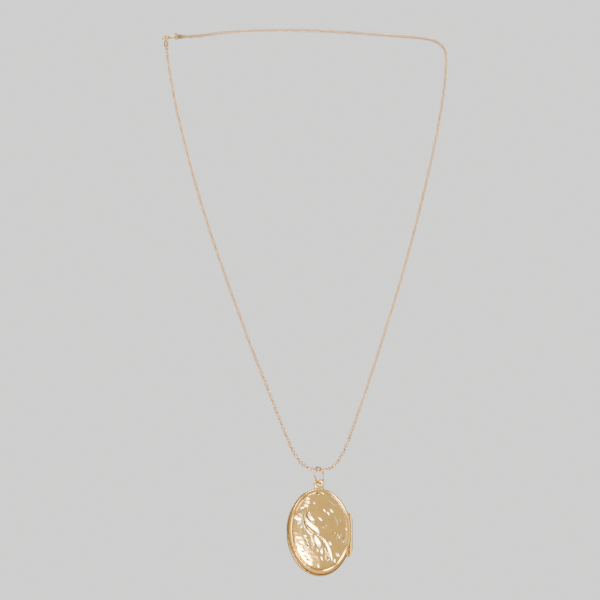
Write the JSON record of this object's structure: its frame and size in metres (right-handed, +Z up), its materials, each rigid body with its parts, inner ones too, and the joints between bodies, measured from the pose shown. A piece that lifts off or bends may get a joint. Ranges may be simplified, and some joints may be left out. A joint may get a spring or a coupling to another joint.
{
  "type": "hinged oval locket on a chain",
  "caption": "Oval hinged picture locket with an engraved front cover, hanging by a jump ring from a fine twisted-link chain that closes with a spring ring clasp.",
  "frame": {"origin": "inside the chain's neck loop, above the locket and level with the tops of the shoulders, where a neck carries it", "axes": "+Z up, -Y out of the engraved front cover, +X towards the hinge"},
  "size_m": [0.1103, 0.0237, 0.2245],
  "materials": {
    "case_gold": "polished, with a satin engraved field",
    "fitting_gold": "polished",
    "chain_gold": "polished links",
    "pin_metal": "drawn wire",
    "window_clear": "clear sheet",
    "picture_paper": "matt, blank"
  },
  "bodies": {
    "neck_chain": {"chain": "chain_gold", "end_cap_front": "chain_gold", "end_cap_rear": "chain_gold", "end_ring_front": "fitting_gold", "end_ring_rear": "fitting_gold", "clasp_ring": "fitting_gold", "clasp_eyelet": "fitting_gold"},
    "clasp_slide": {"clasp_bolt": "fitting_gold", "clasp_trigger": "fitting_gold"},
    "jump_ring": {"pendant_ring": "fitting_gold"},
    "locket": {"rear_case": "case_gold", "closing_lip": "case_gold", "locket_eye": "fitting_gold", "rear_knuckle_upper": "case_gold", "rear_knuckle_lower": "case_gold", "hinge_pin": "pin_metal", "rear_frame": "case_gold", "rear_window": "window_clear", "rear_photo": "picture_paper"},
    "cover": {"front_cover": "case_gold", "cover_knuckle": "case_gold", "front_frame": "case_gold", "front_window": "window_clear", "front_photo": "picture_paper"}
  },
  "joints": [
    {"name": "clasp_bolt_slide", "type": "hinge", "parent": "neck_chain", "child": "clasp_slide", "pos_m": [-0.0559, -0.0083, 0.0015], "axis": [-0.2226, -0.3329, 0.9163], "range_deg": [0, 36], "stiffness_Nm_per_rad": 0.004, "springref_deg": -17.19},
    {"name": "ring_swing", "type": "hinge", "parent": "neck_chain", "child": "jump_ring", "pos_m": [0, -0.012, -0.1691], "axis": [1, 0, 0], "range_deg": [-40, 40]},
    {"name": "locket_swing", "type": "hinge", "parent": "jump_ring", "child": "locket", "pos_m": [0, -0.012, -0.17401], "axis": [0.682, 0.7314, 0], "range_deg": [-30, 30]},
    {"name": "cover_hinge", "type": "hinge", "parent": "locket", "child": "cover", "pos_m": [0.01162, -0.01238, -0.19277], "axis": [0, 0, 1], "range_deg": [0, 160]}
  ]
}
